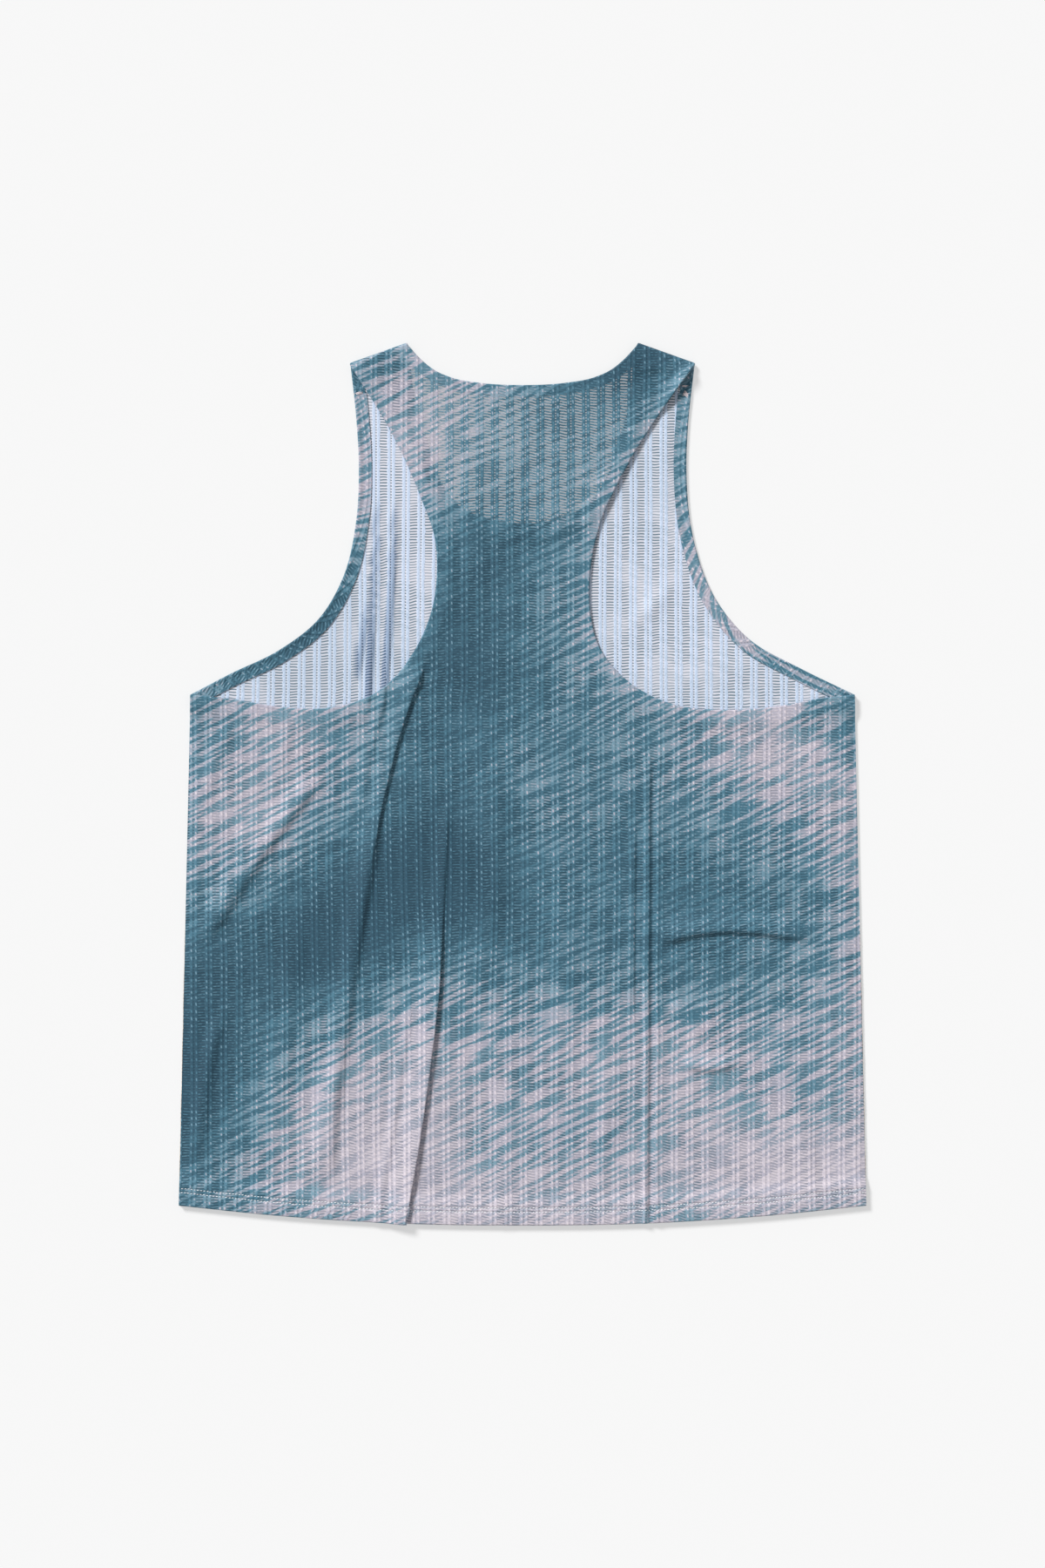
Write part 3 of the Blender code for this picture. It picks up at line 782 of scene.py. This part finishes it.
BACK_TURNS = [
    (back_neck, NECK_TURN), (back_arm_left, BACK_ARM_TURN), (back_arm_right, BACK_ARM_TURN),
    (hem, HEM_TURN),
]
FRONT_TURNS = [
    (front_neck, NECK_TURN), (front_arm_left, FRONT_ARM_TURN), (front_arm_right, FRONT_ARM_TURN),
    (hem, HEM_TURN),
]
STITCH_ROWS = (13.6 * MM, 10.4 * MM)   # both rows of hem stitches, above the edge
GROOVE_DEPTH = 0.55 * MM               # how far a row pulls the cloth in, and how wide
GROOVE_WIDTH = 0.85 * MM
NECK_SAG = 30.0 * MM                   # over which the back sinks into the front's neck
SIDE_EASE = 8.0 * MM                   # over which the back comes down to the side seam
SIDE_SINK = 0.6 * MM
WAVE = 0.42 * MM
SMALL_RIPPLE = (17.0 * MM, 26.0 * MM)
BREATH = 0.1 * MM                      # the least air between two layers of cloth


def stitched_in(points):
    """How far the hem's two rows of stitches pull the cloth down, as two soft grooves."""
    gap, _, _, _ = distance_along(points, hem[::3])
    return sum(GROOVE_DEPTH * np.exp(-((gap - row) / GROOVE_WIDTH) ** 2) for row in STITCH_ROWS)


def back_face(points, depth):
    """Where opened-out back cloth lies, a depth down from its dyed face.

    On the upper layer that is the stack of layers, the folds and a soft ripple, and never
    lower than where it rests on the front. Past the middle of a shoulder roll the cloth
    goes round the roll, then back under it.
    """
    below = depth - CLOTH
    open_neck = within(front_neck, points)
    gap, _, _, _ = distance_along(points, front_neck[::3])
    lower = np.maximum(edge_lift(points, FRONT_TURNS), open_neck * eased(1.4 - gap / NECK_SAG))
    rise, shift, _ = folded(points, BACK_FOLDS)
    own = edge_lift(points, BACK_TURNS)
    free = (1 - own) * (1 - 0.7 * lower)
    front = front_lift(points) * (1 - lower)
    from_side = side_x(points[:, 1]) - np.abs(points[:, 0])
    at_side = eased(1 - from_side / SIDE_EASE) * (1 - own) * (1 - lower)
    waves = free * (1.1 + 0.65 * ripple(points, 8) + 0.35 * ripple(points, 5, SMALL_RIPPLE))
    height = LAYER * (1 + lower + own) + rise * (1 - 0.6 * at_side) + front - stitched_in(points)
    height += WAVE * waves * (1 - at_side) - SIDE_SINK * at_side
    resting = front + 2 * SHELL + BREATH - CLOTH + (SHELL + BREATH) * (lower + own)
    height = np.maximum(height, resting)
    place = np.column_stack([points + shift, height - below])
    radius = ROLL_INSIDE - below
    for strap in (LEFT, RIGHT):
        over = strap.height_over(points)
        angle = np.pi * np.clip(over / ROLL_LENGTH, 0.0, 1.0)
        flat = radius * np.sin(angle) - np.maximum(over - ROLL_LENGTH, 0.0)
        rolled = points + (flat - over)[:, None] * strap.outward
        place[over > 0, :2] = rolled[over > 0]
        place[over > 0, 2] = (ROLL_HEIGHT + radius * np.cos(angle))[over > 0]
    return place


BACK_DYE_PLACE = [0.42, 0.61]   # where on the printed roll this panel was cut


def back_cloth(points):
    """The knit's own coordinates on the back panel, in metres."""
    _, _, slack = folded(points, BACK_FOLDS)
    return points + slack + BACK_DYE_PLACE


# the whole edges of the back, opened out: from the seam, over the shoulder and down
back_edge_left = np.vstack([LEFT.opened(front_arm_left), back_arm_left])
back_edge_right = np.vstack([RIGHT.opened(front_arm_right[::-1]), back_arm_right[::-1]])[::-1]
back_edge_neck = np.vstack([
    RIGHT.opened(front_neck), back_neck, LEFT.opened(front_neck[::-1])[::-1],
])
left_in = moved_in(back_edge_left, ROLL)
right_in = moved_in(back_edge_right, ROLL)[::-1]
neck_in = moved_in(back_edge_neck, ROLL)
arm_left, arm_right = LEFT.below(left_in, 0.0), RIGHT.below(right_in, 0.0)
neck_down = LEFT.below(RIGHT.below(neck_in, 0.0)[::-1], 0.0)
STRAP_COLUMNS = 16
FINE_STEP = 1.1 * MM   # across the sharp folds
points, faces, upper = panel(
    neck_top=(np.array([arm_left[0], neck_down[0]]), neck_down,
              np.array([neck_down[-1], arm_right[0]])),
    arm_left=arm_left, arm_right=arm_right,
    chest=(-98 * MM, 76 * MM),
    columns=[-127 * MM, -56 * MM, 84 * MM, 108 * MM],
    steps=[3.2 * MM, FINE_STEP, FINE_STEP, 3.0 * MM, 3.0 * MM, FINE_STEP, 3.2 * MM],
    strap_columns=STRAP_COLUMNS,
    row_stops=[0.0, 0.019, 0.036, 0.53, 0.60, 1.0],
    row_steps=[0.0042, 0.0017, 0.0072, 0.0042, 0.0072],
    step=3.0 * MM,
)

# over each shoulder: round the roll, then down the front to the seam
round_roll = np.linspace(0.0, ROLL_LENGTH, 9)[1:]
down_front = ROLL_LENGTH + np.linspace(0.0, SEAM_DEPTH, 8)[1:]
heights = np.append(round_roll, down_front)
share = np.linspace(0.0, 1.0, STRAP_COLUMNS + 1)[None, :, None]
for strap, start, arm, neck in (
    (LEFT, upper[:STRAP_COLUMNS + 1], left_in, neck_in[::-1]),
    (RIGHT, upper[-STRAP_COLUMNS - 1:][::-1], right_in, neck_in),
):
    arm_side, neck_side = strap.at_height(arm, heights), strap.at_height(neck, heights)
    more = arm_side[:, None] * (1 - share) + neck_side[:, None] * share
    index = len(points) + np.arange(more[..., 0].size).reshape(more.shape[:2])
    index = np.vstack([start[None], index])
    faces = np.vstack([faces, quads(index if strap is LEFT else index[:, ::-1])])
    points = np.vstack([points, more.reshape(-1, 2)])

# the cloth is doubled where a strip is turned in below it, and open to the ground where
# the front's neck leaves nothing under it
neck_gap, left_gap, right_gap = (
    distance_along(points, line)[0] for line in (back_edge_neck, back_edge_left, back_edge_right)
)
arm_gap = np.minimum(left_gap, right_gap)
doubled = np.maximum(
    eased((NECK_TURN + MM - neck_gap) / MM), eased((BACK_ARM_TURN + MM - arm_gap) / MM),
)
see_through = within(front_neck, points) * eased((neck_gap - NECK_TURN) / MM)
cloth = back_cloth(points)
back_panel = cloth_piece(
    "back_panel_knit", back_face(points, 0.0), faces, cloth,
    [knit("knit_dyed_open", True, True), knit("knit_undyed_open", False, True)],
    {"open_below": see_through, "doubled": doubled})
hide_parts("back_panel")
back_width, back_length, back_area = cut_size(faces, cloth)

# ------------------------------------------------------------------- Turned edges, hems
# Every edge is the panel's own knit, turned to its inner side in a small roll and bonded
# down, or stitched down at the hem. On the front, the dyed side of the strip faces up.


TURN_STEP = 1.6 * MM
SETTLE = 3.0 * MM      # past the roll, over which a strip comes down onto its panel
SIDE_GAP = 0.4 * MM    # a strip ends this far short of the side seam


def turned(name, node, edge_line, width, face, cloth_of, lower_side):
    """A turned edge: the cloth goes round a half circle and back along the panel.

    The circle's middle is one radius in from the edge and one radius deep. The strip
    then eases down until its undyed face is on the panel's. The knit's coordinates
    run on outwards from the edge by the length gone round.
    """
    edge_length = np.hypot(*np.diff(edge_line, axis=0).T).sum()
    edge_line = resampled(edge_line, round(edge_length / TURN_STEP))
    normal = inward(edge_line)
    base = edge_line + ROLL * normal
    middle = face(base, ROLL)
    out = unit(face(edge_line, ROLL) - middle)
    down = unit(face(base, 2 * ROLL) - middle)
    rings, cloth = [], []
    for angle in np.linspace(0.0, math.pi, 9):
        rings.append(middle + ROLL * (math.sin(angle) * out - math.cos(angle) * down))
        cloth.append(cloth_of(base - ROLL * angle * normal))
    sink = 2 * ROLL - 2 * SHELL - BREATH
    for run in spaced([0.0, SETTLE, width - ROLL], [0.75 * MM, 1.8 * MM])[1:]:
        at = base + run * normal
        at[:, 0] = np.clip(at[:, 0], -side_x(at[:, 1]) + SIDE_GAP, side_x(at[:, 1]) - SIDE_GAP)
        rings.append(face(at, 2 * ROLL - sink * float(eased(run / SETTLE))))
        cloth.append(cloth_of(base - (ROLL * math.pi + run) * normal))
    grid, cloth = np.stack(rings, axis=1), np.stack(cloth, axis=1)
    index = np.arange(grid[..., 0].size).reshape(grid.shape[:2])
    piece = cloth_piece(name, grid.reshape(-1, 3), quads(index), cloth.reshape(-1, 2),
                        [knit_dyed, knit_undyed], {"doubled": np.ones(index.size)},
                        flip=lower_side)
    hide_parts(node)
    return piece


front_edge_left = LEFT.below(front_arm_left, -SEAM_DEPTH)
front_edge_right = RIGHT.below(front_arm_right[::-1], -SEAM_DEPTH)[::-1]
front_edge_neck = LEFT.below(RIGHT.below(front_neck, -SEAM_DEPTH)[::-1], -SEAM_DEPTH)[::-1]
back_turns = [
    turned(name, node, line, width, back_face, back_cloth, False)
    for name, node, line, width in (
        ("back_neck_turn", "back_neck_band", back_edge_neck, NECK_TURN),
        ("back_armhole_turn_left", "back_armhole_band_left", back_edge_left, BACK_ARM_TURN),
        ("back_armhole_turn_right", "back_armhole_band_right", back_edge_right, BACK_ARM_TURN),
        ("back_hem_turn", "back_hem", hem, HEM_TURN),
    )
]
front_turns = [
    turned(name, node, line, width, front_face, front_cloth, True)
    for name, node, line, width in (
        ("front_neck_turn", "front_neck_band", front_edge_neck, NECK_TURN),
        ("front_armhole_turn_left", "front_armhole_band_left", front_edge_left, FRONT_ARM_TURN),
        ("front_armhole_turn_right", "front_armhole_band_right", front_edge_right, FRONT_ARM_TURN),
        ("front_hem_turn", "front_hem", hem, HEM_TURN),
    )
]

# ----------------------------------------------------------------------- Hem stitches
# A coverstitch holds each hem: two rows of short pale stitches 3.2 mm apart, each stitch
# a few turns of polyester thread that dips into the knit at both ends.

PITCH = 2.5 * MM
STITCH_LENGTH, STITCH_RADIUS = 1.85 * MM, 0.33 * MM
STITCH_LIFT = 0.08 * MM    # how far a stitch stands on the cloth
STITCH_SHAKE = 0.12 * MM   # how unevenly the stitches are placed
STITCH_TILT = 0.07


def thread_material(name, colour, contrast):
    """Spun thread: its colour in soft patches, with the twist as a fine slanted bump."""
    material = bpy.data.materials.new(name)
    material.use_nodes = True
    Shade.tree = material.node_tree
    shader = Shade.tree.nodes["Principled BSDF"]
    place = Shade.node("ShaderNodeTexCoord", output=3)
    patches = Shade.node("ShaderNodeTexNoise", {"Vector": place, "Scale": 900.0, "Detail": 1.0})
    dark = tuple(contrast * part for part in colour)
    patches.step(0.35, 0.65).mix((*dark, 1), (*colour, 1)).feed(shader, "Base Color")
    twist = Shade.node("ShaderNodeTexWave", {"Vector": place, "Scale": 700.0, "Distortion": 2.0},
                       output=1, bands_direction="DIAGONAL")
    bump = Shade.node("ShaderNodeBump", {"Height": twist, "Strength": 0.4, "Distance": 0.1 * MM})
    bump.feed(shader, "Normal")
    shader.inputs["Roughness"].default_value = 0.55
    return material


def stitches(name, middles, axes, ups, length, radius, material, dip=0.5):
    """Capsules in one mesh: rings of six points on an arc, closed by a point at each end.

    A ring at share t of half the length is narrowed to sqrt(1 - t^4) of the radius, and
    it lies dip * t^2 radii deeper than the middle.
    """
    shares = np.array([-0.9, -0.45, 0.0, 0.45, 0.9])
    turn = np.arange(6) * math.pi / 3
    t = np.concatenate([[-1.0], np.repeat(shares, 6), [1.0]])
    wide = np.concatenate([[0.0], np.repeat(np.sqrt(1 - shares**4), 6), [0.0]])
    angle = np.concatenate([[0.0], np.tile(turn, len(shares)), [0.0]])
    sides = np.cross(axes, ups)
    length, radius = (np.broadcast_to(v, len(middles))[:, None, None] for v in (length, radius))
    lift = (np.sin(angle) * wide - dip * t * t)[None, :, None]
    points = (middles[:, None] + axes[:, None] * t[None, :, None] * length / 2
              + radius * (sides[:, None] * (np.cos(angle) * wide)[None, :, None] + ups[:, None] * lift))
    ring = 1 + np.arange(len(shares) * 6).reshape(-1, 6)
    around = np.hstack([ring, ring[:, :1]])
    first_cap = np.column_stack([np.zeros(6, int), around[0, 1:], around[0, :-1]])
    last_cap = np.column_stack([np.full(6, len(t) - 1), around[-1, :-1], around[-1, 1:]])
    shift = (np.arange(len(middles)) * len(t))[:, None, None]
    square = (quads(around)[None] + shift).reshape(-1, 4)
    caps = (np.vstack([first_cap, last_cap])[None] + shift).reshape(-1, 3)
    mesh = bpy.data.meshes.new(name)
    mesh.from_pydata(points.reshape(-1, 3).tolist(), [], square.tolist() + caps.tolist())
    mesh.polygons.foreach_set("use_smooth", np.ones(len(mesh.polygons), bool))
    mesh.materials.append(material)
    mesh.update()
    piece = bpy.data.objects.new(name, mesh)
    bpy.context.scene.collection.objects.link(piece)
    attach(piece, "root")
    return piece


def surface_frame(points, face):
    """Places on a dyed face, with the outward normal of the cloth there."""
    step = 0.4 * MM
    here = face(points, 0.0)
    along = face(points + [step, 0.0], 0.0) - here
    up = face(points + [0.0, step], 0.0) - here
    normal = unit(np.cross(along, up))
    deeper = face(points, MM) - here
    return here, unit(along), normal * -np.sign((normal * deeper).sum(1))[:, None]


pale_thread = thread_material("pale_thread", (0.84, 0.88, 0.92), 0.7)
for side, face in (("back", back_face), ("front", front_face)):
    rows = []
    for row, seed in zip(STITCH_ROWS, (11, 12)):
        count = round(2 * HEM_CORNER_X / PITCH)
        line = resampled(moved_in(hem, row), 2 * count + 1)[1::2]
        shake = np.random.default_rng(seed).normal(0.0, STITCH_SHAKE, (2, len(line)))
        rows.append(line + np.column_stack(shake))
    at = np.vstack(rows)
    middles, axes, ups = surface_frame(at, face)
    tilt = np.random.default_rng(17).normal(0.0, STITCH_TILT, len(at))[:, None]
    axes = unit(axes + tilt * np.cross(ups, axes))
    stitches(f"{side}_hem_stitches", middles + STITCH_LIFT * ups, axes, ups,
                                STITCH_LENGTH, STITCH_RADIUS, pale_thread)

# ------------------------------------------------------------- Seam threads and tacks
# The side seams are overlocked inside, and a cream thread shows where they end, low on
# each side. At each forward shoulder seam a few stitches tack the seam to the edge.

cream_thread = thread_material("cream_thread", (0.74, 0.66, 0.58), 0.8)
blush_thread = thread_material("blush_thread", (0.80, 0.70, 0.73), 0.8)
OVERLOCK_PITCH, OVERLOCK_LENGTH, OVERLOCK_RADIUS = 2.9 * MM, 3.4 * MM, 0.34 * MM
OVERLOCK_HEIGHT = 1.25 * MM    # between the two panels
OVERLOCK_INSIDE = 0.55 * MM    # inside the side line at the top
OVERLOCK_OUT = 0.75 * MM       # how much further out it comes, low on the side
SHOWS_FROM, SHOWS_OVER = -60 * MM, 90 * MM
seam_threads = []
for side in (-1, 1):
    y = np.arange(right_hem[1] + 3 * MM, UNDERARM[1] - 6 * MM, OVERLOCK_PITCH)
    low = eased((SHOWS_FROM - y) / SHOWS_OVER)
    out = side_x(y) - OVERLOCK_INSIDE + OVERLOCK_OUT * low + 0.10 * MM * np.sin(y / (7 * MM))
    height = np.full(len(y), OVERLOCK_HEIGHT) + 0.2 * MM * np.cos(y / (5 * MM))
    middles = np.column_stack([side * out, y, height])
    sway, lift = 0.10 * np.sin(y / (3 * MM)), 0.2 * np.cos(y / (4 * MM))
    axes = unit(np.column_stack([sway, np.ones(len(y)), lift]))
    ups = np.broadcast_to([float(side), 0.0, 0.0], middles.shape)
    ups = unit(np.cross(np.cross(axes, ups), axes))
    name = "left" if side < 0 else "right"
    seam_threads.append(stitches(f"side_seam_thread_{name}", middles, axes, ups,
                                 OVERLOCK_LENGTH, OVERLOCK_RADIUS, cream_thread, dip=0.2))

# the forward shoulder seams, seen from below, as one row of small stitches each
SEAM_STITCHES = 22
ABOVE_SEAM = 1.6 * MM
for strap, arm, neck in ((LEFT, left_in, neck_in[::-1]), (RIGHT, right_in, neck_in)):
    height = np.array([ROLL_LENGTH + SEAM_DEPTH - ABOVE_SEAM])
    ends = np.vstack([strap.at_height(arm, height), strap.at_height(neck, height)])
    at = resampled(ends, SEAM_STITCHES)[1:-1]
    middles, _, ups = surface_frame(at, back_face)
    axes = unit(np.gradient(middles, axis=0))
    name = "left" if strap is LEFT else "right"
    seam_threads.append(stitches(f"shoulder_seam_stitches_{name}", middles + 0.05 * MM * ups, axes, ups,
                                 1.5 * MM, 0.22 * MM, pale_thread))


TACK_HEIGHT = 2.05 * MM
TACK_RADIUS = 0.27 * MM


def tack(name, start, end, strands, spread, zigzag):
    """A tack: strands side by side between two plan points, slanted across by turns."""
    start, end = np.array(start) * MM, np.array(end) * MM
    length = np.linalg.norm(end - start)
    axis = (end - start) / length
    across = np.array([-axis[1], axis[0]])
    offset = np.linspace(-0.5, 0.5, strands) * spread * MM
    shake = np.random.default_rng(strands).uniform(-0.5, 0.5, (2, strands))
    middles = (start + end) / 2 + offset[:, None] * across + (shake[0] * 0.8 * MM)[:, None] * axis
    height = np.full(strands, TACK_HEIGHT) + np.abs(shake[1]) * 0.3 * MM
    slant = np.where(np.arange(strands) % 2, 1, -1) * zigzag
    axes = axis + slant[:, None] * across
    axes = unit(np.column_stack([axes, 0.06 * shake[1]]))
    ups = unit(np.cross(np.cross(axes, [0.0, 0.0, 1.0]), axes))
    lengths = length * (0.8 + 0.3 * shake[0])
    return stitches(name, np.column_stack([middles, height]), axes, ups, lengths,
                    TACK_RADIUS, blush_thread, dip=0.6)


seam_threads += [
    tack("shoulder_tack_left", (-132.4, 303.6), (-124.6, 305.8), 4, 1.3, 0.06),
    tack("shoulder_tack_right", (124.4, 305.6), (131.4, 302.2), 7, 2.6, 0.42),
    tack("shoulder_bar_right", (123.6, 310.4), (129.6, 310.3), 3, 0.8, 0.04),
]

# ------------------------------------------------------------------------------ Stage
# A pale table that is lit a little from within, even light from all round, a low sun from
# one side for the folds, and a camera straight above.

TABLE_REACH = 120.0
TABLE_HEIGHT = -0.0004         # just under the front hem's stitches
TABLE_GREY, TABLE_GLOW = 0.42, 0.465
SKY_STRENGTH = 0.43
SUN_STRENGTH = 3.7
SUN_WIDTH = math.radians(16)
SUN_TURN = (math.radians(-38), math.radians(-42), 0.0)
FRAME_HEIGHT = 1.224           # how much of the table the view is high

corners = [(-1, -1), (1, -1), (1, 1), (-1, 1)]
floor_mesh = bpy.data.meshes.new("table")
floor_mesh.from_pydata([(TABLE_REACH * x, TABLE_REACH * y, TABLE_HEIGHT) for x, y in corners],
                       [], [(0, 1, 2, 3)])
floor = bpy.data.objects.new("table", floor_mesh)
bpy.context.scene.collection.objects.link(floor)
floor_material = bpy.data.materials.new("table")
floor_material.use_nodes = True
floor_shader = floor_material.node_tree.nodes["Principled BSDF"]
floor_shader.inputs["Base Color"].default_value = (TABLE_GREY, TABLE_GREY, TABLE_GREY, 1)
floor_shader.inputs["Emission Color"].default_value = (1, 1, 1, 1)
floor_shader.inputs["Emission Strength"].default_value = TABLE_GLOW
floor_shader.inputs["Roughness"].default_value = 0.9
floor_shader.inputs["Specular IOR Level"].default_value = 0.0
floor_mesh.materials.append(floor_material)
floor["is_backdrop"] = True

world = bpy.data.worlds.new("studio")
bpy.context.scene.world = world
world.use_nodes = True
world.node_tree.nodes["Background"].inputs["Color"].default_value = (1, 1, 1, 1)
world.node_tree.nodes["Background"].inputs["Strength"].default_value = SKY_STRENGTH

sun_data = bpy.data.lights.new("window", "SUN")
sun_data.energy = SUN_STRENGTH
sun_data.angle = SUN_WIDTH
sun = bpy.data.objects.new("window", sun_data)
sun.rotation_euler = SUN_TURN
bpy.context.scene.collection.objects.link(sun)

camera_data = bpy.data.cameras.new("camera")
camera_data.lens = 85.0
camera_data.sensor_width = 36.0
camera_data.clip_end = 400.0
camera = bpy.data.objects.new("camera", camera_data)
camera.location = (0.0, 0.0, FRAME_HEIGHT / (camera_data.sensor_width / camera_data.lens))
bpy.context.scene.collection.objects.link(camera)
bpy.context.scene.camera = camera
bpy.context.scene.view_settings.view_transform = "Standard"

low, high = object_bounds()
